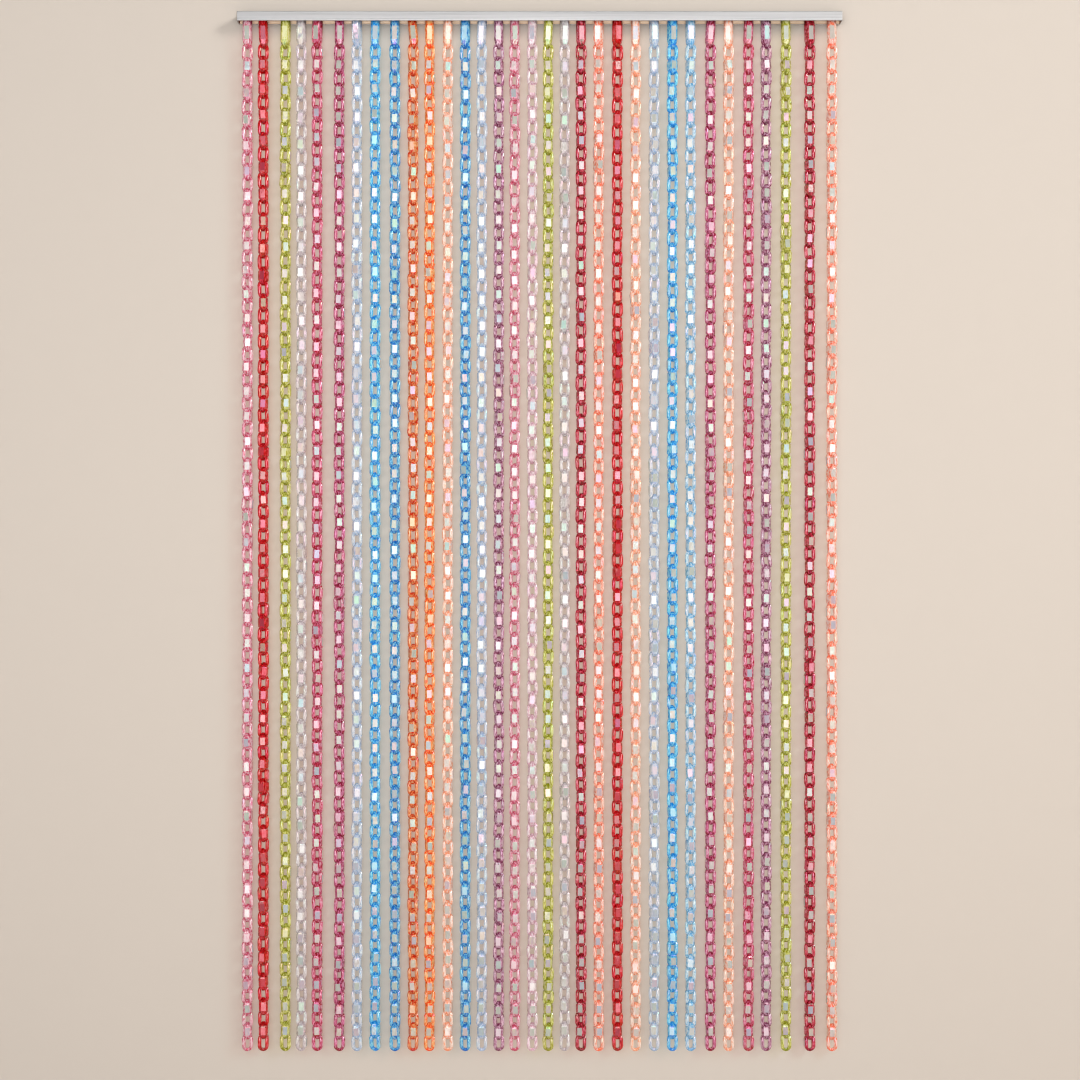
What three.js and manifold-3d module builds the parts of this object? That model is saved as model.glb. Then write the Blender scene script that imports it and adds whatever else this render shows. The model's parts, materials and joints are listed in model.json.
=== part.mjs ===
// Chain-link door curtain: strands of interlocked plastic links in mixed colours, hung side by side on a
// rod inside a slim aluminium rail.
// Millimetres, +Z up, +X along the rail. The origin is the centre of the rail's back face, which lies
// against the wall; the room side of the curtain faces -Y.
import * as THREE from "three";
import { mergeVertices } from "three/addons/utils/BufferGeometryUtils.js";
import Module from "manifold-3d";

const wasm = await Module();
wasm.setup();

// Rail: a folded channel, open below and closed at both ends.
const RAIL_LENGTH = 1064;
const RAIL_DEPTH = 28;
const RAIL_HEIGHT = 16.5;
const RAIL_WALL = 1.5;

// Rod along the inside of the rail, from end wall to end wall.
const ROD_DIAMETER = 4.4;
const ROD_SIDES = 12;

// One link: an oval ring whose bar is thick at the sides and slim at the ends, where the next link hooks in.
const LINK_WIDTH = 19;
const LINK_END_BAR = 4.5;
const LINK_SIDE_BAR = 5;
const LINK_SIDE_DEPTH = 17;
const LINK_END_DEPTH = 7;
const LINK_PITCH = 21.8;
const LINK_PLAY = 0.8;
const LINK_CORNER = 5;

// One strand: a long hanger link over the rod, then links turned face on and edge on by turns.
const FACE_ON_LINKS = 41;
const FIRST_LINK_DROP = 69.8;
const SWELLS = 42;
const RUN_SIDES = 4;

// Clearance between pieces that rest on each other, and the distance within which points are one.
const SEAT_GAP = 0.3;
const SAME_POINT = 1e-4;

// Strands from left to right: distance from the middle of the rail, and colour.
const STRANDS = [
  { across: -515, colour: "rose" },
  { across: -487, colour: "red" },
  { across: -448, colour: "lime" },
  { across: -420, colour: "clear" },
  { across: -392, colour: "raspberry" },
  { across: -353, colour: "mauve" },
  { across: -322, colour: "ice" },
  { across: -290, colour: "sky" },
  { across: -255, colour: "azure" },
  { across: -223, colour: "orange" },
  { across: -194, colour: "tangerine" },
  { across: -162, colour: "peach" },
  { across: -131, colour: "azure" },
  { across: -102, colour: "ice" },
  { across: -72, colour: "plum" },
  { across: -44, colour: "rose" },
  { across: -13, colour: "blush" },
  { across: 15, colour: "lime" },
  { across: 44, colour: "clear" },
  { across: 73, colour: "crimson" },
  { across: 104, colour: "apricot" },
  { across: 137, colour: "red" },
  { across: 169, colour: "peach" },
  { across: 202, colour: "ice" },
  { across: 234, colour: "sky" },
  { across: 266, colour: "mist" },
  { across: 301, colour: "mauve" },
  { across: 333, colour: "peach" },
  { across: 368, colour: "raspberry" },
  { across: 399, colour: "plum" },
  { across: 434, colour: "lime" },
  { across: 476, colour: "crimson" },
  { across: 515, colour: "apricot" },
];

// Finishes.
const COLOURS = {
  rose: "#d67f98",
  red: "#c8141c",
  lime: "#adb43a",
  clear: "#dcd6d2",
  raspberry: "#b83e62",
  mauve: "#b2567e",
  ice: "#c6d3e0",
  sky: "#4aa6dc",
  azure: "#3f97d8",
  orange: "#f0682a",
  tangerine: "#f28246",
  peach: "#f2b496",
  plum: "#a06484",
  blush: "#e2b8be",
  crimson: "#b0222e",
  apricot: "#ee9674",
  mist: "#98c0dc",
};
const PLASTIC_ROUGHNESS = 0.08;
const ALUMINIUM = new THREE.MeshStandardMaterial({ color: "#d2d2d4", roughness: 0.38, metalness: 1 });
const STEEL = new THREE.MeshStandardMaterial({ color: "#a9abae", roughness: 0.3, metalness: 1 });

// Sizes that follow from those above.
const MIDDLE_Y = -RAIL_DEPTH / 2;
const TOP_Z = RAIL_HEIGHT / 2;
const LINK_HOLE_LENGTH = LINK_PITCH + LINK_PLAY;
const LINK_HOLE_WIDTH = LINK_WIDTH - 2 * LINK_SIDE_BAR;
const LINK_LENGTH = LINK_HOLE_LENGTH + 2 * LINK_END_BAR;
const FIRST_FACE_ON_Z = TOP_Z - FIRST_LINK_DROP;
const LAST_FACE_ON_Z = FIRST_FACE_ON_Z - 2 * LINK_PITCH * (FACE_ON_LINKS - 1);
const LAST_EDGE_ON_Z = LAST_FACE_ON_Z + LINK_PITCH;
const HANGER_TOP_Z = TOP_Z - RAIL_WALL - 2 * SEAT_GAP;
const HANGER_BOTTOM_Z = FIRST_FACE_ON_Z + LINK_HOLE_LENGTH / 2 - LINK_PLAY - LINK_END_BAR;
const ROD_Z = HANGER_TOP_Z - LINK_END_BAR - SEAT_GAP - ROD_DIAMETER / 2;
const ROD_LENGTH = RAIL_LENGTH - 2 * RAIL_WALL - 2 * SEAT_GAP;

// Turns of a shape drawn in its own x and y: upright facing the room, or upright facing along the rail.
const FACE_ON = new THREE.Matrix4().makeBasis(
  new THREE.Vector3(1, 0, 0),
  new THREE.Vector3(0, 0, 1),
  new THREE.Vector3(0, -1, 0),
);
const EDGE_ON = new THREE.Matrix4().makeBasis(
  new THREE.Vector3(0, 1, 0),
  new THREE.Vector3(0, 0, 1),
  new THREE.Vector3(1, 0, 0),
);

// A closed three.js geometry as a solid that can be joined and cut.
function solidOf(geometry) {
  const bare = geometry.index ? geometry.toNonIndexed() : geometry.clone();
  bare.deleteAttribute("normal");
  bare.deleteAttribute("uv");
  const merged = mergeVertices(bare, SAME_POINT);
  const vertProperties = new Float32Array(merged.attributes.position.array);
  const triVerts = new Uint32Array(merged.index.array);
  return new wasm.Manifold(new wasm.Mesh({ numProp: 3, vertProperties, triVerts }));
}

// A solid back as a three.js geometry.
function geometryOf(solid) {
  const mesh = solid.getMesh();
  const geometry = new THREE.BufferGeometry();
  geometry.setAttribute("position", new THREE.BufferAttribute(mesh.vertProperties, mesh.numProp));
  geometry.setIndex(new THREE.BufferAttribute(mesh.triVerts, 1));
  geometry.computeVertexNormals();
  return geometry;
}

// A link's outline by its length: an upright oblong with cut corners, centred on its own origin.
function outlinePoints(length) {
  const side = LINK_WIDTH / 2;
  const end = length / 2;
  return [
    new THREE.Vector2(side, LINK_CORNER - end),
    new THREE.Vector2(side, end - LINK_CORNER),
    new THREE.Vector2(side - LINK_CORNER, end),
    new THREE.Vector2(LINK_CORNER - side, end),
    new THREE.Vector2(-side, end - LINK_CORNER),
    new THREE.Vector2(-side, LINK_CORNER - end),
    new THREE.Vector2(LINK_CORNER - side, -end),
    new THREE.Vector2(side - LINK_CORNER, -end),
  ];
}

// The link's hole: a plain oblong.
function holePoints(length) {
  const side = LINK_HOLE_WIDTH / 2;
  const end = length / 2 - LINK_END_BAR;
  return [
    new THREE.Vector2(side, -end),
    new THREE.Vector2(side, end),
    new THREE.Vector2(-side, end),
    new THREE.Vector2(-side, -end),
  ];
}

// One open link between two heights, standing at the middle of the rail's depth.
function linkRing(topZ, bottomZ, turn) {
  const outline = new THREE.Shape(outlinePoints(topZ - bottomZ));
  outline.holes.push(new THREE.Path(holePoints(topZ - bottomZ)));
  const ring = new THREE.ExtrudeGeometry(outline, { depth: LINK_SIDE_DEPTH, bevelEnabled: false });
  ring.translate(0, 0, -LINK_SIDE_DEPTH / 2);
  ring.applyMatrix4(turn);
  ring.translate(0, MIDDLE_Y, (topZ + bottomZ) / 2);
  return ring;
}

// The run of closed links between the hanger and the last link: a four-sided bar that swells by turns
// across the rail, where a link is face on, and towards the room, where one is edge on.
function linkRun() {
  const rows = [{ z: FIRST_FACE_ON_Z + LINK_LENGTH / 2, across: LINK_HOLE_WIDTH, deep: LINK_END_DEPTH }];
  const step = (FIRST_FACE_ON_Z - LAST_EDGE_ON_Z) / (SWELLS - 1);
  for (let swell = 0; swell < SWELLS; swell += 1) {
    const faceOn = swell % 2 === 0;
    rows.push({
      z: FIRST_FACE_ON_Z - swell * step,
      across: faceOn ? LINK_WIDTH : LINK_SIDE_DEPTH,
      deep: faceOn ? LINK_SIDE_DEPTH : LINK_WIDTH,
    });
  }
  rows.push({ z: LAST_EDGE_ON_Z - LINK_LENGTH / 2, across: LINK_END_DEPTH, deep: LINK_HOLE_WIDTH });

  // A square bar of side 2 and length 1, whose cross sections are then set to those rows.
  const steps = rows.length - 1;
  const corner = Math.SQRT2;
  const bar = new THREE.CylinderGeometry(corner, corner, 1, RUN_SIDES, steps, false, Math.PI / RUN_SIDES);
  bar.rotateX(Math.PI / 2);
  const points = bar.attributes.position;
  for (let i = 0; i < points.count; i += 1) {
    const row = rows[Math.round((1 / 2 - points.getZ(i)) * steps)];
    const x = (points.getX(i) * row.across) / 2;
    const y = (points.getY(i) * row.deep) / 2;
    points.setXYZ(i, x, y + MIDDLE_Y, row.z);
  }
  return bar;
}

// One whole strand, hanging at the middle of the rail's length.
function strandGeometry() {
  const hanger = solidOf(linkRing(HANGER_TOP_Z, HANGER_BOTTOM_Z, EDGE_ON));
  const run = solidOf(linkRun());
  const half = LINK_LENGTH / 2;
  const last = solidOf(linkRing(LAST_FACE_ON_Z + half, LAST_FACE_ON_Z - half, FACE_ON));
  return geometryOf(hanger.add(run).add(last));
}

// The channel: a block hollowed from below.
function railGeometry() {
  const block = new THREE.BoxGeometry(RAIL_LENGTH, RAIL_DEPTH, RAIL_HEIGHT);
  const hollow = new THREE.BoxGeometry(
    RAIL_LENGTH - 2 * RAIL_WALL,
    RAIL_DEPTH - 2 * RAIL_WALL,
    RAIL_HEIGHT,
  );
  hollow.translate(0, 0, -RAIL_WALL);
  const channel = geometryOf(solidOf(block).subtract(solidOf(hollow)));
  channel.translate(0, MIDDLE_Y, 0);
  return channel;
}

function rodGeometry() {
  const rod = new THREE.CylinderGeometry(ROD_DIAMETER / 2, ROD_DIAMETER / 2, ROD_LENGTH, ROD_SIDES);
  rod.rotateZ(Math.PI / 2);
  rod.translate(0, MIDDLE_Y, ROD_Z);
  return rod;
}

function named(name, geometry, material) {
  const mesh = new THREE.Mesh(geometry, material);
  mesh.name = name;
  return mesh;
}

const curtain = new THREE.Group();
curtain.add(named("rail", railGeometry(), ALUMINIUM));
curtain.add(named("hanging_rod", rodGeometry(), STEEL));

const strandShape = strandGeometry();
STRANDS.forEach(({ across, colour }, index) => {
  const material = new THREE.MeshStandardMaterial({
    color: COLOURS[colour],
    roughness: PLASTIC_ROUGHNESS,
    metalness: 0,
  });
  const strand = named(`chain_${String(index + 1).padStart(2, "0")}`, strandShape, material);
  strand.position.x = across;
  curtain.add(strand);
});

export default curtain;
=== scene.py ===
"""Looks of the chain-link door curtain: strands of see-through plastic links on a slim aluminium rail.

Metres, +Z up, +X along the rail, and the room side faces -Y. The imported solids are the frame: each strand, the
rail and the rod take their place from it, and every single link is made here.
"""

import json
import logging
import math
from dataclasses import dataclass
from enum import Enum

import bpy
import numpy as np
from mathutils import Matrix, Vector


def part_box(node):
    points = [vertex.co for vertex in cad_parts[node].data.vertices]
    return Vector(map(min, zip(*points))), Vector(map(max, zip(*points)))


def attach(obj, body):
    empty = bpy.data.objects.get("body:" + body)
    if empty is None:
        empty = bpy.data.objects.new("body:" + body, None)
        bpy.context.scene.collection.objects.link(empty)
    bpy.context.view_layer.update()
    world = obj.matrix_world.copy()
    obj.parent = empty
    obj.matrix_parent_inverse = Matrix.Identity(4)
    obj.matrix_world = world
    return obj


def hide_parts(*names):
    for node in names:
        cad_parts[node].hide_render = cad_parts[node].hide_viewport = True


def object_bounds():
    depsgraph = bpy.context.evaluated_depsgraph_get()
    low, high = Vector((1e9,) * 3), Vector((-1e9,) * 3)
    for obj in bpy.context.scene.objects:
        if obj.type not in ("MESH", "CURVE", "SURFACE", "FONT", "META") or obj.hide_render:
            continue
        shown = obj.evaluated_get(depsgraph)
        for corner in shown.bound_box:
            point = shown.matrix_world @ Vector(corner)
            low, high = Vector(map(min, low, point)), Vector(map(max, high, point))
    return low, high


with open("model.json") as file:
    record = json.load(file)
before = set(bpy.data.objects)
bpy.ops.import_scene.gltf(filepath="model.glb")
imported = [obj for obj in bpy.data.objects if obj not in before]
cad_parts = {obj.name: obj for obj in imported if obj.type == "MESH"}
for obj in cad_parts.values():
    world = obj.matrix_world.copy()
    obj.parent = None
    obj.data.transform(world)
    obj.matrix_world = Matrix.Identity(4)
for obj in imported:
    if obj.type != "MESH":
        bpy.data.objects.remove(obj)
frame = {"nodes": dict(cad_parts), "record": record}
CAD_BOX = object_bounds()

Colour = tuple[float, float, float]
Point = tuple[float, float, float]
Pair = tuple[float, float]
Socket = bpy.types.NodeSocket
MM = 0.001
NOISE_SPAN = (0.3, 0.7)  # where most values of a cloudy noise lie
LOG = logging.getLogger("curtain")


class Turn(Enum):
    """How a link hangs, as its angle about the strand in degrees."""

    FACE_ON = 0.0
    EDGE_ON = 90.0


def add_mesh(
    name: str, points: np.ndarray, quads: np.ndarray, caps: tuple[np.ndarray, ...] = ()
) -> bpy.types.Object:
    """Puts whole arrays of points and faces into a new mesh object at the origin.

    Args:
        name: name of the piece.
        points: (n, 3) corner positions in metres.
        quads: (m, 4) corner numbers of each four-sided face, turning outwards.
        caps: corner numbers of each many-sided closing face.

    Returns:
        The new object, linked to the scene, with smooth faces.
    """
    corners = np.concatenate([quads.reshape(-1), *caps]).astype(np.int32)
    sizes = np.concatenate([np.full(len(quads), 4), [len(cap) for cap in caps]]).astype(np.int32)
    starts = np.concatenate([[0], np.cumsum(sizes)[:-1]]).astype(np.int32)
    mesh = bpy.data.meshes.new(name)
    mesh.vertices.add(len(points))
    mesh.vertices.foreach_set("co", points.astype(np.float32).reshape(-1))
    mesh.loops.add(len(corners))
    mesh.loops.foreach_set("vertex_index", corners)
    mesh.polygons.add(len(sizes))
    mesh.polygons.foreach_set("loop_start", starts)
    mesh.polygons.foreach_set("use_smooth", np.ones(len(sizes), bool))
    mesh.update(calc_edges=True)
    mesh.validate()
    piece = bpy.data.objects.new(name, mesh)
    bpy.context.scene.collection.objects.link(piece)
    return piece


def keep_numbers(piece: bpy.types.Object, name: str, values: np.ndarray) -> None:
    """Keeps one number on each face of a piece, under that name."""
    marks = piece.data.attributes.new(name, "FLOAT", "FACE")
    marks.data.foreach_set("value", values.reshape(-1).astype(np.float32))


def tie(piece: bpy.types.Object, material: bpy.types.Material, node: str) -> None:
    """Gives a piece its finish and ties it to the frame.

    Args:
        piece: the built piece.
        material: its finish.
        node: the CAD node that it stands for.
    """
    piece.data.materials.append(material)
    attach(piece, "root")
    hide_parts(node)


def ring_quads(rings: int, sides: int, closed: bool) -> np.ndarray:
    """Faces of a grid of rings: each face spans two neighbouring rings and two neighbouring sides.

    Args:
        rings: number of rings.
        sides: points in each ring, which closes on itself.
        closed: whether the last ring joins the first.

    Returns:
        (m, 4) corner numbers.
    """
    ring = np.arange(rings if closed else rings - 1)[:, None]
    side = np.arange(sides)[None, :]
    after = (ring + 1) % rings
    beside = (side + 1) % sides
    corners = [ring * sides + side, ring * sides + beside, after * sides + beside, after * sides + side]
    return np.stack(np.broadcast_arrays(*corners), -1).reshape(-1, 4)


def turn_about(axis: int, degrees: np.ndarray) -> np.ndarray:
    """Turning matrices about one axis: cosines on the diagonal of the other two axes, and sines beside it.

    Args:
        axis: 0, 1 or 2 for X, Y or Z.
        degrees: (n,) angles.

    Returns:
        (n, 3, 3) matrices.
    """
    angle = np.radians(degrees)
    first, second = (axis + 1) % 3, (axis + 2) % 3
    matrix = np.zeros((len(angle), 3, 3))
    matrix[:, axis, axis] = 1
    matrix[:, first, first] = matrix[:, second, second] = np.cos(angle)
    matrix[:, second, first] = np.sin(angle)
    matrix[:, first, second] = -np.sin(angle)
    return matrix


class NodeTree:
    """The nodes of a new material or of the air in the room, with short calls to add and join them."""

    def __init__(self, owner: bpy.types.Material | bpy.types.World, output: str) -> None:
        """Empties the owner's nodes and starts again from its output.

        Args:
            owner: the material or the world that the nodes belong to.
            output: Blender's type of its output node.
        """
        self.owner = owner
        owner.use_nodes = True
        self.tree = owner.node_tree
        self.tree.nodes.clear()
        self.output = self.add(output)

    @classmethod
    def material(cls, name: str) -> "NodeTree":
        """Starts a new material of that name."""
        return cls(bpy.data.materials.new(name), "ShaderNodeOutputMaterial")

    def finish(self, shader: Socket) -> bpy.types.Material | bpy.types.World:
        """Joins the shader to the output and gives back the owner."""
        self.join(shader, self.output.inputs["Surface"])
        return self.owner

    def add(self, kind: str, **settings: object) -> bpy.types.Node:
        """Adds a node and sets its own options.

        Args:
            kind: Blender's node type.
            settings: options of the node, by name.

        Returns:
            The new node.
        """
        node = self.tree.nodes.new(kind)
        for name, value in settings.items():
            setattr(node, name, value)
        return node

    def join(self, source: Socket, target: Socket) -> None:
        """Links one socket to another."""
        self.tree.links.new(source, target)

    def mark(self, name: str) -> Socket:
        """The number that each face of the piece keeps under that name."""
        return self.add("ShaderNodeAttribute", attribute_name=name).outputs["Fac"]

    def combine(self, operation: str, first: Socket, second: Socket) -> Socket:
        """One number from two.

        Args:
            operation: Blender's name of the sum.
            first: socket of the first number.
            second: socket of the second number.

        Returns:
            The socket of the result.
        """
        node = self.add("ShaderNodeMath", operation=operation)
        self.join(first, node.inputs[0])
        self.join(second, node.inputs[1])
        return node.outputs["Value"]

    def noise(self, scale: float, detail: float, stretch: Point = (1, 1, 1)) -> Socket:
        """Cloudy noise fixed to the piece.

        Args:
            scale: lumps in a metre.
            detail: octaves of finer noise.
            stretch: factor on the scale along each axis.

        Returns:
            The socket of the noise, from 0 to 1.
        """
        place = self.add("ShaderNodeTexCoord")
        mapping = self.add("ShaderNodeMapping")
        mapping.inputs["Scale"].default_value = stretch
        noise = self.add("ShaderNodeTexNoise")
        noise.inputs["Scale"].default_value = scale
        noise.inputs["Detail"].default_value = detail
        self.join(place.outputs["Object"], mapping.inputs["Vector"])
        self.join(mapping.outputs["Vector"], noise.inputs["Vector"])
        return noise.outputs["Fac"]

    def ramp(self, source: Socket, low: float, high: float, start: float = 0, end: float = 1) -> Socket:
        """A straight change of range.

        Args:
            source: socket to change.
            low: value given at start.
            high: value given at end.
            start: value of the source that gives low.
            end: value of the source that gives high.

        Returns:
            The socket of the changed value.
        """
        change = self.add("ShaderNodeMapRange")
        for name, value in {"From Min": start, "From Max": end, "To Min": low, "To Max": high}.items():
            change.inputs[name].default_value = value
        self.join(source, change.inputs["Value"])
        return change.outputs["Result"]

    def shades(self, source: Socket, stops: list[tuple[float, Colour]]) -> Socket:
        """A band of colours.

        Args:
            source: socket that runs along the band.
            stops: places along the band and their colours, in rising order.

        Returns:
            The socket of the colour.
        """
        band = self.add("ShaderNodeValToRGB")
        elements = band.color_ramp.elements
        while len(elements) < len(stops):
            elements.new(1)
        for element, (place, colour) in zip(elements, stops):
            element.position = place
            element.color = (*colour, 1)
        self.join(source, band.inputs["Fac"])
        return band.outputs["Color"]

    def bump(self, source: Socket, height: float, strength: float) -> Socket:
        """Small relief.

        Args:
            source: socket of the height.
            height: depth of the relief in metres.
            strength: share of it that shows.

        Returns:
            The socket of the changed normal.
        """
        relief = self.add("ShaderNodeBump")
        relief.inputs["Strength"].default_value = strength
        relief.inputs["Distance"].default_value = height
        self.join(source, relief.inputs["Height"])
        return relief.outputs["Normal"]

    def open_where(self, share: Socket, shader: Socket, colour: Colour) -> Socket:
        """A shader that some rays go straight through.

        Args:
            share: socket of the share that goes straight through.
            shader: socket of the shader for the rest.
            colour: light that is let through.

        Returns:
            The socket of the mixed shader.
        """
        through = self.add("ShaderNodeBsdfTransparent")
        through.inputs["Color"].default_value = (*colour, 1)
        mix = self.add("ShaderNodeMixShader")
        self.join(share, mix.inputs["Fac"])
        self.join(shader, mix.inputs[1])
        self.join(through.outputs["BSDF"], mix.inputs[2])
        return mix.outputs["Shader"]


@dataclass(frozen=True)
class LinkFinish:
    """See-through moulded plastic in one colour, with a thin rainbow coat, and painted light in that colour.

    The ends of each link are deepened as painted shade where links meet, the flat faces are painted pale and
    pearly as a painted sheen of the coat, and flecks paint small glints and streaks of bent light.

    Attributes:
        tint: share of red, green and blue light that one bar lets through.
        clearness: share of the light that goes through rather than scatters.
        pearl_sheen: how far the flat faces leave the tint for a painted pearly sheen of the coat.
        coat: thinnest and thickest coat in nanometres.
    """

    tint: Colour
    clearness: float = 0.46
    pearl_sheen: float = 0.95
    coat: Pair = (430, 930)

    # Marks on the faces: each link's share of the coat, and each face's number along the band of colours, which
    # holds painted shade and painted sheen.
    TONE = "link_tone"
    FACE = "link_face"
    # Numbers of plain bars, of the plainest and the palest flat faces, and of the pearly shades after them. The
    # pale and pearly shades are painted sheen of the coat.
    BAR = 0.05
    FACE_START = 0.1
    PALE = 0.24
    PEARL_SHEENS = (
        (0.34, (0.82, 0.78, 0.75)),
        (0.50, (0.63, 0.71, 0.61)),
        (0.64, (0.55, 0.65, 0.76)),
        (0.76, (0.72, 0.57, 0.68)),
        (0.88, (0.82, 0.73, 0.58)),
        (1.00, (0.90, 0.88, 0.87)),
    )
    # Powers of the tint at the ends, deepened as painted shade where links meet, on the bars, and on the plainest
    # and the palest flat faces, paler as painted sheen.
    POWERS = (3.3, 0.8, 0.28, 0.16)
    # How far the painted pearly sheens lean to the opposite colour, and how much calmer they are on a pale tint.
    OPPOSITE = 0.36
    CALM = 0.27
    FACE_CLEARNESS = 0.34
    # Flecks in a metre, their stretch, how far they shift a face's number to paint small glints and streaks of
    # bent light, and the roughness that they give.
    GLINT_FLECKS = 360
    GLINT_STRETCH = (1, 1, 0.5)
    GLINT_SHIFT = 0.05
    ROUGHNESS = (0.015, 0.07)
    # Waves of the moulded surface in a metre, their depth, and the share of it that shows.
    WAVES = 85
    WAVE_DEPTH = 0.6 * MM
    WAVE_SHARE = 0.12
    PLASTIC_IOR = 1.49
    COAT_IOR = 1.66
    # Light that one surface lets through to the backdrop, and the share of the tint in it.
    SHADE = (0.932, 0.894, 0.858)
    SHADE_TINT = 0.17

    def shade(self) -> Colour:
        """Light that one surface lets through to the backdrop: a warm grey with a little of the tint."""
        return tuple(np.array(self.SHADE) * (1 - self.SHADE_TINT + self.SHADE_TINT * np.array(self.tint)))

    def stops(self) -> list[tuple[float, Colour]]:
        """Colours along a link's face number: deep at its ends as painted shade, plain on its bars, then paler,
        then pearly.

        The paler and pearly shades are painted sheen of the coat. A pearly one leans to the colour opposite the
        tint, as a thin coat's reflection does, and is calmer on a pale tint.

        Returns:
            Places along the band and their colours.
        """
        tint = np.array(self.tint)
        end, bar, face, pale = (tuple(tint**power) for power in self.POWERS)
        opposite = 1 - self.OPPOSITE * (tint - tint.mean())
        coat = tint ** (1 - self.pearl_sheen) * opposite * (1 - self.CALM * tint.mean())
        pearl_sheens = [(place, tuple(np.minimum(np.array(shade) * coat, 1))) for place, shade in self.PEARL_SHEENS]
        return [(0, end), (self.BAR, bar), (self.FACE_START, face), (self.PALE, pale), *pearl_sheens]

    def material(self, slot: str) -> bpy.types.Material:
        """Makes the finish for one material slot.

        Args:
            slot: name of the record's slot.

        Returns:
            The new material.
        """
        nodes = NodeTree.material(slot)
        plastic = nodes.add("ShaderNodeBsdfPrincipled")
        plastic.inputs["IOR"].default_value = self.PLASTIC_IOR
        plastic.inputs["Thin Film IOR"].default_value = self.COAT_IOR
        number = nodes.mark(self.FACE)
        # Flecks shift the colour to paint small glints and streaks of bent light, and also vary the roughness.
        glint_flecks = nodes.noise(self.GLINT_FLECKS, detail=1, stretch=self.GLINT_STRETCH)
        shift = nodes.ramp(glint_flecks, -self.GLINT_SHIFT, self.GLINT_SHIFT, *NOISE_SPAN)
        colour = nodes.shades(nodes.combine("ADD", number, shift), self.stops())
        clear = nodes.ramp(number, self.clearness, self.FACE_CLEARNESS, self.BAR, self.FACE_START)
        waves = nodes.bump(nodes.noise(self.WAVES, detail=1), self.WAVE_DEPTH, self.WAVE_SHARE)
        nodes.join(colour, plastic.inputs["Base Color"])
        nodes.join(clear, plastic.inputs["Transmission Weight"])
        nodes.join(nodes.ramp(nodes.mark(self.TONE), *self.coat), plastic.inputs["Thin Film Thickness"])
        nodes.join(nodes.ramp(glint_flecks, *self.ROUGHNESS), plastic.inputs["Roughness"])
        nodes.join(waves, plastic.inputs["Normal"])
        shadow = nodes.add("ShaderNodeLightPath").outputs["Is Shadow Ray"]
        return nodes.finish(nodes.open_where(shadow, plastic.outputs["BSDF"], self.shade()))


LINK_FINISHES: dict[str, LinkFinish] = {
    "link_rose": LinkFinish((0.87, 0.47, 0.585)),
    "link_red": LinkFinish((0.74, 0.002, 0.005), pearl_sheen=0.6),
    "link_lime": LinkFinish((0.69, 0.70, 0.145)),
    "link_clear": LinkFinish((0.86, 0.83, 0.85), 0.6),
    "link_raspberry": LinkFinish((0.76, 0.13, 0.27)),
    "link_mauve": LinkFinish((0.69, 0.135, 0.315)),
    "link_ice": LinkFinish((0.79, 0.86, 0.95), 0.6),
    "link_sky": LinkFinish((0.15, 0.68, 0.95)),
    "link_azure": LinkFinish((0.15, 0.59, 0.88)),
    "link_orange": LinkFinish((0.89, 0.295, 0.075)),
    "link_tangerine": LinkFinish((1.0, 0.435, 0.11)),
    "link_peach": LinkFinish((1.0, 0.76, 0.64)),
    "link_plum": LinkFinish((0.64, 0.325, 0.485)),
    "link_blush": LinkFinish((0.89, 0.76, 0.81)),
    "link_crimson": LinkFinish((0.64, 0.018, 0.05)),
    "link_apricot": LinkFinish((1.0, 0.63, 0.51)),
    "link_mist": LinkFinish((0.58, 0.80, 0.93)),
}


@dataclass(frozen=True)
class MetalFinish:
    """Bare metal with fine lines along its length.

    Attributes:
        colour: reflected colour.
        inside: colour of inner faces; a darker, browner one is painted shade and painted reflection of the warm
            wall.
        roughness: lowest and highest roughness.
        lines: fine lines in a metre across the length.
    """

    colour: Colour
    inside: Colour
    roughness: Pair
    lines: float

    # Mark on the faces: 1 on inner ones, which take the painted shade.
    SHADED_INNER = "shaded_inner_face"
    # Scale of the lines along the length, their tones, their depth, and the share of it that shows.
    ALONG = 0.012
    TONES = (0.84, 1.14)
    LINE_DEPTH = 0.05 * MM
    LINE_SHARE = 0.25

    def material(self, slot: str) -> bpy.types.Material:
        """Makes the finish for one material slot.

        Args:
            slot: name of the record's slot.

        Returns:
            The new material.
        """
        nodes = NodeTree.material(slot)
        metal = nodes.add("ShaderNodeBsdfPrincipled")
        metal.inputs["Metallic"].default_value = 1
        lines = nodes.noise(self.lines, detail=4, stretch=(self.ALONG, 1, 1))
        # Inner faces take the inside colour, a painted shade and painted reflection of the warm wall.
        colour = nodes.shades(nodes.mark(self.SHADED_INNER), [(0, self.colour), (1, self.inside)])
        tone = nodes.add("ShaderNodeHueSaturation")
        nodes.join(colour, tone.inputs["Color"])
        nodes.join(nodes.ramp(lines, *self.TONES, *NOISE_SPAN), tone.inputs["Value"])
        nodes.join(tone.outputs["Color"], metal.inputs["Base Color"])
        nodes.join(nodes.ramp(lines, *self.roughness, *NOISE_SPAN), metal.inputs["Roughness"])
        nodes.join(nodes.bump(lines, self.LINE_DEPTH, self.LINE_SHARE), metal.inputs["Normal"])
        return nodes.finish(metal.outputs["BSDF"])


# The rail's inside colour is darker and browner: painted shade and painted reflection of the warm wall under it.
RAIL_FINISH = MetalFinish((0.41, 0.41, 0.415), (0.44, 0.33, 0.24), (0.36, 0.48), 380)
ROD_FINISH = MetalFinish((0.56, 0.57, 0.58), (0.56, 0.57, 0.58), (0.22, 0.34), 1200)


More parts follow.
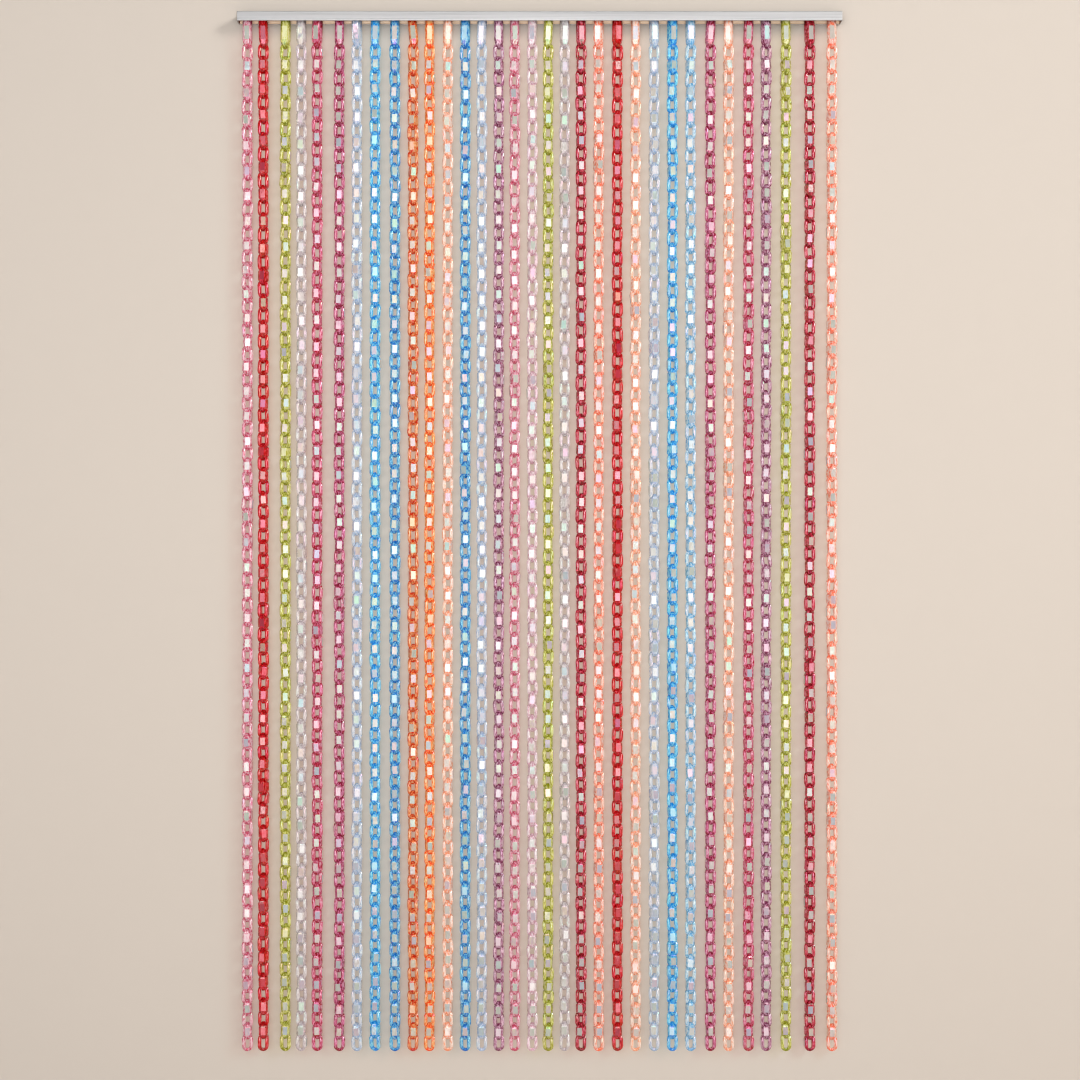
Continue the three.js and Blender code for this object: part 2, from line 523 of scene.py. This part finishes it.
@dataclass(frozen=True)
class LinkForm:
    """One moulded link: an oval ring, thick at its sides and slim at its ends, with a flat outer face.

    Attributes:
        width: across the ring.
        side_bar: bar's thickness at the sides, in the ring's plane.
        end_bar: the same at the ends.
        side_depth: bar's depth at the sides, square to the ring's plane.
        end_depth: the same at the ends.
        side_flat: width of the flat faces at the sides.
        end_flat: the same at the ends.
        reach: how far each end stands out from the straight sides, to the bar's middle.
        hanger_reach: the same at the foot and at the top of a hanger link.
        hanger_fullness: how square a hanger's ends are, where 1 is a half ellipse and less is squarer.
        pitch: drop from one link to the next.
        play: spare length where two links hook together.
        swell: how late the depth grows from the ends to the sides.
        hanger_swell: the same at the foot and at the top of a hanger link.
        end_steps: faces round each end.
    """

    width: float = 19 * MM
    side_bar: float = 6.0 * MM
    end_bar: float = 5.1 * MM
    side_depth: float = 15.5 * MM
    end_depth: float = 7.2 * MM
    side_flat: float = 8.2 * MM
    end_flat: float = 4.2 * MM
    reach: float = 7.0 * MM
    hanger_reach: Pair = (13.5 * MM, 19.5 * MM)
    hanger_fullness: float = 0.6
    pitch: float = 21.8 * MM
    play: float = 0.8 * MM
    swell: float = 5.0
    hanger_swell: Pair = (3.0, 0.5)
    end_steps: int = 6

    # Corners of a cross section, those beside its two flat faces, those of the outer one, and that face's number.
    SIDES = 6
    FLAT_EDGES = (0, 2, 3, 5)
    OUTER_EDGES = (0, 5)
    OUTER_FACE = 5

    @property
    def hole(self) -> float:
        """Length of the hole."""
        return self.pitch + self.play

    @property
    def length(self) -> float:
        """Length over all."""
        return self.hole + 2 * self.end_bar

    @property
    def rings(self) -> int:
        """Cross sections round the link."""
        return 2 * (self.end_steps + 1)

    def surface(self, length: float, reach: Pair, swell: Pair, fullness: float) -> np.ndarray:
        """Points of a link, as cross sections round its middle line.

        The middle line is two straight sides joined by half ellipses. At an angle a round an end, measured from
        the side, it lies at half the width times the cosine of a to the power of fullness, and at half the length
        less the reach times one less the sine of a. Each cross section is a hexagon square to that line, with two
        flat faces in and out and a ridge on each side. Its sizes go from the end's to the side's with the cosine
        of a, to the power of swell.

        Args:
            length: length over all.
            reach: how far the foot and the top stand out from the straight sides, to the bar's middle.
            swell: how late the depth grows from the foot and from the top to the sides.
            fullness: how square the ends are, where 1 is a half ellipse and less is squarer.

        Returns:
            (rings, 6, 3) points about the link's centre, with its ring in the XZ plane.
        """
        half_width = (self.width - self.side_bar) / 2
        half_length = (length - self.end_bar) / 2
        angle = np.linspace(0, math.pi, self.end_steps + 1)
        sine, cosine, side = np.sin(angle), np.abs(np.cos(angle)), np.sign(np.cos(angle))
        across = half_width * side * cosine**fullness
        lean = side * cosine ** (2 - fullness) / (fullness * half_width)
        ends = list(zip((1, -1), reach[::-1], swell[::-1]))
        line = np.concatenate([sign * np.stack([across, half_length - r * (1 - sine)], 1) for sign, r, _ in ends])
        normal = np.concatenate([sign * np.stack([lean, sine / r], 1) for sign, r, _ in ends])
        normal /= np.linalg.norm(normal, axis=1, keepdims=True)
        share = np.concatenate([cosine**power for _, _, power in ends])
        bar = (self.end_bar + (self.side_bar - self.end_bar) * share) / 2
        depth = (self.end_depth + (self.side_depth - self.end_depth) * share) / 2
        flat = (self.end_flat + (self.side_flat - self.end_flat) * share) / 2
        out = np.stack([bar, 0 * bar, -bar, -bar, 0 * bar, bar], 1)
        deep = np.stack([flat, depth, flat, -flat, -depth, -flat], 1)
        return np.stack([line[:, :1] + normal[:, :1] * out, deep, line[:, 1:] + normal[:, 1:] * out], -1)

    def plain(self) -> np.ndarray:
        """Points of a plain link, as surface gives them."""
        return self.surface(self.length, (self.reach, self.reach), (self.swell, self.swell), 1)

    def hanger(self, length: float) -> np.ndarray:
        """Points of a hanger link of that length, as surface gives them."""
        return self.surface(length, self.hanger_reach, self.hanger_swell, self.hanger_fullness)

    def face_numbers(self, pearl_sheen: np.ndarray) -> np.ndarray:
        """Number of every face for its colour, with painted shade at the ends and painted sheen on the flat
        faces.

        It is 0 in the middle of an end, where the painted shade is deepest, and grows evenly to the number of
        plain bars on the straight sides. There the outer flats go by the link's own share, from the number of the
        plainest flat faces to 1, through the painted sheens.

        Args:
            pearl_sheen: (n,) each link's own share along the painted pearly sheens.

        Returns:
            (n, faces) numbers.
        """
        ring = np.arange(self.rings) % (self.end_steps + 1)
        from_side = np.minimum(ring, self.end_steps - 1 - ring) + 1
        numbers = np.zeros((len(pearl_sheen), self.rings, self.SIDES))
        numbers += LinkFinish.BAR * (1 - from_side / (self.end_steps / 2))[None, :, None]
        start = LinkFinish.FACE_START
        numbers[:, ring == self.end_steps, self.OUTER_FACE] = (start + (1 - start) * pearl_sheen)[:, None]
        return numbers.reshape(len(pearl_sheen), -1)

    def sharp_edges(self, ends: np.ndarray) -> np.ndarray:
        """Which edges are crisp: those beside the flat faces, and those across the outer flat at a side's ends.

        Args:
            ends: (n, 2) corner numbers of each edge.

        Returns:
            (n,) whether each edge is crisp.
        """
        side = ends % self.SIDES
        ring = (ends // self.SIDES) % self.rings
        along = side[:, 0] == side[:, 1]
        beside_flat = along & np.isin(side[:, 0], self.FLAT_EDGES)
        across_outer = np.isin(side, self.OUTER_EDGES).all(1) & ~along
        meets_end = np.isin(ring[:, 0] % (self.end_steps + 1), (0, self.end_steps))
        return beside_flat | (across_outer & meets_end)


@dataclass
class Strand:
    """One chain: a long hanger link over the rod, then links face on and edge on by turns.

    Attributes:
        node: the CAD node that it stands for.
        slot: its material slot.
        number: its place from the left, which also seeds its unevenness.
        form: shape of its links.
        face_on_links: links that face the room.
        sway: twist of each of the slow waves down the strand in degrees.
        twist: spread of each link's own twist in degrees.
        lean: spread of each link's lean in degrees.
        stretch: share by which each of the slow waves lengthens and shortens the links.
        slack: share by which the links grow shorter from the rod to the foot.
    """

    node: str
    slot: str
    number: int
    form: LinkForm
    face_on_links: int = 41
    sway: float = 4.5
    twist: float = 2.6
    lean: float = 1.8
    stretch: float = 0.03
    slack: float = 0.12

    # Number of slow waves, the links in one wave of twist and in one of stretch, and the hanger's share of
    # painted pearly sheen.
    WAVES = 3
    WAVE_LINKS = (6, 18)
    STRETCH_LINKS = (22, 70)
    HANGER_SHEEN = 0.7
    # Seeds of the shades and of the drops, to which the strand's number is added.
    SHADE_SEED = 1000
    DROP_SEED = 2000

    def turns(self, count: int) -> np.ndarray:
        """Turning matrix of each link: by turns face on and edge on, with slow waves and its own small error.

        Args:
            count: number of links, from the hanger down.

        Returns:
            (count, 3, 3) matrices.
        """
        draw = np.random.default_rng(self.number)
        phase, links = draw.uniform(0, 2 * math.pi, self.WAVES), draw.uniform(*self.WAVE_LINKS, self.WAVES)
        place = np.arange(count)
        base = np.where(place % 2 == 0, Turn.EDGE_ON.value, Turn.FACE_ON.value)
        slow = self.sway * np.sin(phase + 2 * math.pi * place[:, None] / links).sum(1)
        about_z = turn_about(2, base + slow + draw.normal(0, self.twist, count))
        about_x = turn_about(0, draw.normal(0, self.lean, count))
        about_y = turn_about(1, draw.normal(0, self.lean, count))
        return about_x @ about_y @ about_z

    def drops(self, count: int) -> np.ndarray:
        """Drop from each hook to the next: the pitch times one plus slow waves and a slope down to the foot.

        Args:
            count: number of links below the hanger.

        Returns:
            (count,) distances, which add up to that many pitches.
        """
        draw = np.random.default_rng(self.DROP_SEED + self.number)
        phase, links = draw.uniform(0, 2 * math.pi, self.WAVES), draw.uniform(*self.STRETCH_LINKS, self.WAVES)
        place = np.arange(count)
        share = 1 + self.stretch * np.sin(phase + 2 * math.pi * place[:, None] / links).sum(1)
        share += self.slack * (0.5 - place / count)
        return self.form.pitch * count * share / share.sum()

    def points(self, links: int) -> np.ndarray:
        """Points of every link, from the hanger down: its shape, drawn out to its drop, turned and set in place.

        Args:
            links: number of links below the hanger.

        Returns:
            (links + 1, n, 3) positions.
        """
        low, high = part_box(self.node)
        form = self.form
        drops = self.drops(links)
        hooks = low.z + form.end_bar + form.play / 2 + np.append(np.cumsum(drops[::-1])[::-1], 0)
        hanger_low = hooks[0] - form.play / 2 - form.end_bar
        hanger_length = high.z - hanger_low
        longer = np.ones((links, 1, 3))
        longer[:, 0, 2] = 1 + (drops - form.pitch) / form.length
        hanger = form.hanger(hanger_length).reshape(1, -1, 3)
        shapes = np.concatenate([hanger, form.plain().reshape(1, -1, 3) * longer])
        centres = np.zeros((links + 1, 1, 3))
        centres[:, 0, :2] = (low.x + high.x) / 2, (low.y + high.y) / 2
        centres[:, 0, 2] = np.append(hanger_low + hanger_length / 2, (hooks[1:] + hooks[:-1]) / 2)
        return np.einsum("nij,nkj->nki", self.turns(links + 1), shapes) + centres

    def build(self) -> bpy.types.Object:
        """Makes every link of the strand as one mesh.

        Returns:
            The strand's object, with a number on each link for its coat and one on each face for its painted
            shade and sheen.
        """
        form = self.form
        points = self.points(2 * self.face_on_links - 1)
        links, corners = points.shape[:2]
        quads = ring_quads(form.rings, form.SIDES, closed=True)
        every_quad = quads[None] + np.arange(links)[:, None, None] * corners
        piece = add_mesh(f"links_{self.number:02d}", points.reshape(-1, 3), every_quad.reshape(-1, 4))
        mesh = piece.data
        ends = np.zeros(len(mesh.edges) * 2, np.int32)
        mesh.edges.foreach_get("vertices", ends)
        crisp = mesh.attributes.new("sharp_edge", "BOOLEAN", "EDGE")
        crisp.data.foreach_set("value", form.sharp_edges(ends.reshape(-1, 2)))
        # Each link's share of the painted pearly sheen on its flat faces; the hanger gets less of it.
        tone, pearl_sheen = np.random.default_rng(self.SHADE_SEED + self.number).random((2, links))
        pearl_sheen[0] *= self.HANGER_SHEEN
        keep_numbers(piece, LinkFinish.TONE, np.repeat(tone, len(quads)))
        keep_numbers(piece, LinkFinish.FACE, form.face_numbers(pearl_sheen))
        return piece

    def dress(self, piece: bpy.types.Object, materials: dict[str, bpy.types.Material]) -> None:
        """Gives the strand its colour, out of the finished material of each slot."""
        tie(piece, materials[self.slot], self.node)


@dataclass
class Rail:
    """The folded channel: open below, closed at both ends, with eased edges.

    Attributes:
        node: the CAD node that it stands for.
        slot: its material slot.
        wall: sheet thickness.
        edge: radius of the outer edges.
        rim: radius of the lower rim.
        corner: radius of the upright corners.
        crown: how far the faces stand out at half height.
    """

    node: str = "rail"
    slot: str = "rail_metal"
    wall: float = 1.5 * MM
    edge: float = 1.0 * MM
    rim: float = 0.5 * MM
    corner: float = 1.2 * MM
    crown: float = 0.1 * MM

    # Points round a rounded edge, points up a face, and the least radius of an inner corner.
    ARC = 6
    FACE_STEPS = 8
    LEAST_CORNER = 0.2 * MM

    def profile(self, low: float, high: float) -> np.ndarray:
        """Section of the sheet, from the inside of the top down to the rim and up the outside to the top.

        Two quarter circles make the rim and one makes the top edge. Between them the outer face draws in from its
        crown at half height by the square of the height above or below it.

        Args:
            low: height of the rim.
            high: height of the top.

        Returns:
            (n, 2) distances in from the outer outline, and heights.
        """
        quarter = np.linspace(0, math.pi / 2, self.ARC)
        inner = np.array([[self.wall, high - self.wall], [self.wall, low + self.rim]])
        early, late = self.rim * (1 - np.cos(quarter)), self.rim * (1 - np.sin(quarter))
        turn_in = np.stack([self.wall - early, low + late], 1)
        turn_out = np.stack([late, low + early], 1)
        faces = np.linspace(low + self.rim, high - self.edge, self.FACE_STEPS)[1:]
        across = (faces - (low + high) / 2) / ((high - low) / 2)
        outer = np.stack([self.crown * across**2, faces], 1)
        top = np.stack([self.edge * (1 - np.cos(quarter)), high - self.edge * (1 - np.sin(quarter))], 1)
        return np.concatenate([inner, turn_in[1:], turn_out, outer, top[1:]])

    def outline(self, half: np.ndarray, inset: np.ndarray) -> np.ndarray:
        """Rounded oblong seen from above, drawn in by each inset.

        Each corner is a quarter circle. An inset is taken off its radius down to the least one, and what is left
        over moves the corner in.

        Args:
            half: half the length and half the depth.
            inset: (n,) distances in from the outline.

        Returns:
            (n, m, 2) points about the middle, turning the same way as the hands of a clock seen from below.
        """
        angle = np.linspace(0, math.pi / 2, self.ARC)
        quarter = np.stack([np.cos(angle), np.sin(angle)], 1)
        signs = np.array([[1, 1], [-1, 1], [-1, -1], [1, -1]])
        arcs = [quarter * s if s[0] * s[1] > 0 else (quarter * s)[::-1] for s in signs]
        centres = np.repeat(signs, self.ARC, 0) * (half - self.corner)
        radius = np.maximum(self.corner - inset, self.LEAST_CORNER)[:, None, None]
        slack = np.minimum(self.corner - inset - self.LEAST_CORNER, 0)[:, None, None]
        return centres + np.concatenate(arcs) * radius + np.repeat(signs, self.ARC, 0) * slack

    def build(self) -> bpy.types.Object:
        """Carries the section round the outline and closes the top, inside and out.

        Returns:
            The rail's object.
        """
        low, high = (np.array(corner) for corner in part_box(self.node))
        profile = self.profile(low[2], high[2])
        middle, half = (low + high)[:2] / 2, (high - low)[:2] / 2
        flat = self.outline(half, profile[:, 0]) + middle
        height = np.broadcast_to(profile[:, 1, None, None], (*flat.shape[:2], 1))
        points = np.concatenate([flat, height], 2)
        rings, sides = points.shape[:2]
        quads = ring_quads(rings, sides, closed=False)
        inside = np.arange(sides)[::-1]
        outside = np.arange(sides) + (rings - 1) * sides
        piece = add_mesh("rail_channel", points.reshape(-1, 3), quads, (inside, outside))
        # Inner faces are marked for the finish's painted shade.
        inner = np.zeros(len(piece.data.polygons))
        inner[:sides] = inner[len(quads)] = 1
        keep_numbers(piece, MetalFinish.SHADED_INNER, inner)
        return piece

    def dress(self, piece: bpy.types.Object) -> None:
        """Gives the rail its metal."""
        tie(piece, RAIL_FINISH.material(self.slot), self.node)


@dataclass
class Rod:
    """The round rod inside the rail, with eased ends.

    Attributes:
        node: the CAD node that it stands for.
        slot: its material slot.
        sides: faces round it.
        ease: how far its ends are eased.
    """

    node: str = "hanging_rod"
    slot: str = "rod_steel"
    sides: int = 24
    ease: float = 0.5 * MM

    def build(self) -> bpy.types.Object:
        """Carries a circle along the rail, narrower by the ease at both ends.

        Returns:
            The rod's object.
        """
        low, high = (np.array(corner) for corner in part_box(self.node))
        radius = (high[1] - low[1]) / 2
        middle = (low + high) / 2
        along = np.array([low[0], low[0] + self.ease, high[0] - self.ease, high[0]])
        girth = np.array([radius - self.ease, radius, radius, radius - self.ease])
        angle = np.arange(self.sides) * 2 * math.pi / self.sides
        x = np.broadcast_to(along[:, None], (len(along), self.sides))
        y = middle[1] + girth[:, None] * np.cos(angle)
        z = middle[2] + girth[:, None] * np.sin(angle)
        points = np.stack([x, y, z], -1)
        quads = ring_quads(len(along), self.sides, closed=False)[:, ::-1]
        start = np.arange(self.sides)[::-1]
        end = np.arange(self.sides) + (len(along) - 1) * self.sides
        return add_mesh("hanging_rod_round", points.reshape(-1, 3), quads, (start, end))

    def dress(self, piece: bpy.types.Object) -> None:
        """Gives the rod its metal."""
        tie(piece, ROD_FINISH.material(self.slot), self.node)


@dataclass(frozen=True)
class Lamp:
    """One soft oblong lamp.

    Attributes:
        name: name of the lamp.
        place: its middle.
        target: the point that it faces.
        size: its width and height.
        power: in watts.
        colour: of its light.
    """

    name: str
    place: Point
    target: Point
    size: Pair
    power: float
    colour: Colour

    def build(self) -> None:
        """Hangs the lamp, tips it up from straight down to the slope of its aim, and turns it to its target."""
        light = bpy.data.lights.new(self.name, "AREA")
        light.shape = "RECTANGLE"
        light.size, light.size_y = self.size
        light.energy = self.power
        light.color = self.colour
        lamp = bpy.data.objects.new(self.name, light)
        lamp.location = self.place
        aim = np.array(self.target) - np.array(self.place)
        flat = math.hypot(aim[0], aim[1])
        lamp.rotation_euler = (math.atan2(flat, -aim[2]), 0, math.atan2(aim[1], aim[0]) - math.pi / 2)
        bpy.context.scene.collection.objects.link(lamp)


LAMPS = (
    Lamp("key", (4.9, -3.8, 2.5), (0.0, 0.0, -0.9), (2.0, 2.0), 280, (1.0, 0.965, 0.93)),
    Lamp("front", (0.1, -4.4, -0.3), (0.1, 0.0, -0.9), (2.3, 2.8), 36, (1.0, 0.99, 0.985)),
    Lamp("screen", (-0.6, -4.8, -0.8), (-0.3, 0.0, -1.1), (3.8, 3.2), 116, (1.0, 0.98, 0.97)),
    Lamp("left", (-2.0, -4.1, 1.2), (-0.5, 0.0, 0.0), (0.8, 0.8), 11.5, (1.0, 0.99, 0.98)),
    Lamp("right", (1.6, -4.1, 1.2), (0.4, 0.0, 0.0), (0.8, 0.8), 10, (1.0, 0.99, 0.98)),
    Lamp("behind", (0.0, 2.4, -0.8), (0.0, 0.0, -0.8), (7.0, 3.0), 105, (1.0, 0.98, 0.96)),
)


@dataclass
class Studio:
    """Pale floor, pale backdrop behind the rail, soft lamps, the air of the room and the camera.

    Attributes:
        photo_side: side of the square photo in pixels.
        rail_pixels: length of the rail's front in the photo.
        rail_middle_pixel: middle of the rail across the photo.
        rail_top_pixel: top of the rail's front down the photo.
        distance: from the camera to the rail's front.
        sensor: width of the camera's sensor in millimetres.
    """

    photo_side: float = 1080
    rail_pixels: float = 606
    rail_middle_pixel: float = 539.6
    rail_top_pixel: float = 11
    distance: float = 3.3
    sensor: float = 36

    # Floor and backdrop: colours, half their width, and where they begin and end.
    FLOOR = (0.66, 0.61, 0.56)
    BACKDROP = (0.61, 0.553, 0.495)
    REACH = 3.0
    FLOOR_FRONT = -3.6
    FLOOR_DROP = 0.16
    BACKDROP_TOP = 1.0
    BACKDROP_GAP = 1 * MM
    RAIL_COVERS = 2 * MM
    PAINT_ROUGHNESS = 0.9
    PAINT_GLOSS = 0.1
    # Colour of the air, and its strength where it is seen and where it only lights things.
    AIR = (0.93, 0.90, 0.86)
    AIR_SEEN = 1.0
    AIR_LIGHT = 0.14
    # How far light is followed, and how fine the picture is.
    LIGHT_PATHS = {
        "caustics_reflective": False,
        "caustics_refractive": False,
        "max_bounces": 9,
        "transmission_bounces": 9,
        "glossy_bounces": 5,
        "diffuse_bounces": 2,
        "transparent_max_bounces": 12,
        "adaptive_threshold": 0.04,
        "filter_width": 1.15,
    }

    def build(self) -> None:
        """Sets up the camera, the floor and backdrop, the lamps and the air."""
        self.camera()
        self.stage()
        for lamp in LAMPS:
            lamp.build()
        self.air()
        scene = bpy.context.scene
        scene.view_settings.view_transform = "Standard"
        for name, value in self.LIGHT_PATHS.items():
            setattr(scene.cycles, name, value)

    def camera(self) -> None:
        """Places the camera square to the curtain, at the photo's scale and framing.

        A pixel is the rail's length over its pixels, and the lens makes the photo's side fill the sensor at the
        rail's front.
        """
        low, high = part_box("rail")
        pixel = (high.x - low.x) / self.rail_pixels
        lens = bpy.data.cameras.new("camera")
        lens.sensor_width = self.sensor
        lens.lens = self.sensor * self.distance / (pixel * self.photo_side)
        camera = bpy.data.objects.new("camera", lens)
        right = (self.photo_side / 2 - self.rail_middle_pixel) * pixel
        down = (self.photo_side / 2 - self.rail_top_pixel) * pixel
        camera.location = ((low.x + high.x) / 2 + right, low.y - self.distance, high.z - down)
        camera.rotation_euler = (math.pi / 2, 0, 0)
        bpy.context.scene.collection.objects.link(camera)
        bpy.context.scene.camera = camera

    def paint(self, name: str, colour: Colour, one_sided: bool) -> bpy.types.Material:
        """Matt paint for the stage.

        Args:
            name: name of the paint.
            colour: its colour.
            one_sided: whether it vanishes when looked at from behind, and for rays that came through it.

        Returns:
            The new material.
        """
        nodes = NodeTree.material(name)
        paint = nodes.add("ShaderNodeBsdfPrincipled")
        paint.inputs["Base Color"].default_value = (*colour, 1)
        paint.inputs["Roughness"].default_value = self.PAINT_ROUGHNESS
        paint.inputs["Specular IOR Level"].default_value = self.PAINT_GLOSS
        surface = paint.outputs["BSDF"]
        if one_sided:
            behind = nodes.add("ShaderNodeNewGeometry").outputs["Backfacing"]
            passed = nodes.add("ShaderNodeLightPath").outputs["Transparent Depth"]
            surface = nodes.open_where(nodes.combine("MAXIMUM", behind, passed), surface, (1, 1, 1))
        return nodes.finish(surface)

    @staticmethod
    def oblong(left: float, low: float, right: float, high: float) -> np.ndarray:
        """Corners of an oblong, turning left from its low left one, as (4, 2) points."""
        return np.array([[left, low], [right, low], [right, high], [left, high]])

    def stage(self) -> None:
        """Lays the floor and stands the backdrop just behind the rail, cut out where the rail covers it."""
        low, high = CAD_BOX
        rail_low, rail_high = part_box("rail")
        floor_z = low[2] - self.FLOOR_DROP
        back = high[1] + self.BACKDROP_GAP
        reach, cut = self.REACH, self.RAIL_COVERS
        floor = np.insert(self.oblong(-reach, self.FLOOR_FRONT, reach, back), 2, floor_z, axis=1)
        edge = self.oblong(-reach, floor_z, reach, self.BACKDROP_TOP)
        hole = self.oblong(rail_low.x + cut, rail_low.z + cut, rail_high.x - cut, rail_high.z - cut)
        board = np.insert(np.concatenate([edge, hole]), 1, back, axis=1)
        for name, points, quads, colour, one_sided in (
            ("floor", floor, np.arange(4)[None], self.FLOOR, False),
            ("backdrop", board, ring_quads(2, 4, closed=False), self.BACKDROP, True),
        ):
            piece = add_mesh(name, points, quads)
            piece.data.materials.append(self.paint(f"{name}_paint", colour, one_sided))

    def air(self) -> None:
        """Fills the room with pale air, which lights things less than it shows."""
        nodes = NodeTree(bpy.data.worlds.new("room"), "ShaderNodeOutputWorld")
        path = nodes.add("ShaderNodeLightPath").outputs
        air = nodes.add("ShaderNodeBackground")
        air.inputs["Color"].default_value = (*self.AIR, 1)
        lighting = nodes.combine("MAXIMUM", path["Is Diffuse Ray"], path["Is Glossy Ray"])
        nodes.join(nodes.ramp(lighting, self.AIR_SEEN, self.AIR_LIGHT), air.inputs["Strength"])
        bpy.context.scene.world = nodes.finish(air.outputs["Background"])


def main() -> None:
    """Builds the studio, the rail, the rod and every strand, and reports each piece."""
    Studio().build()
    for part in (Rail(), Rod()):
        piece = part.build()
        part.dress(piece)
        LOG.info("%s: %d faces", piece.name, len(piece.data.polygons))
    materials = {slot: finish.material(slot) for slot, finish in LINK_FINISHES.items()}
    slots = {row["node"]: row["material_slot"] for row in frame["record"]["subparts"]}
    form = LinkForm()
    strands = sorted(node for node in frame["nodes"] if node.startswith("chain_"))
    for number, node in enumerate(strands, 1):
        strand = Strand(node, slots[node], number, form)
        piece = strand.build()
        strand.dress(piece, materials)
        LOG.info("%s in %s: %d faces", piece.name, strand.slot, len(piece.data.polygons))


if __name__ == "__main__":
    logging.basicConfig(level=logging.INFO, format="%(name)s: %(message)s")
    main()
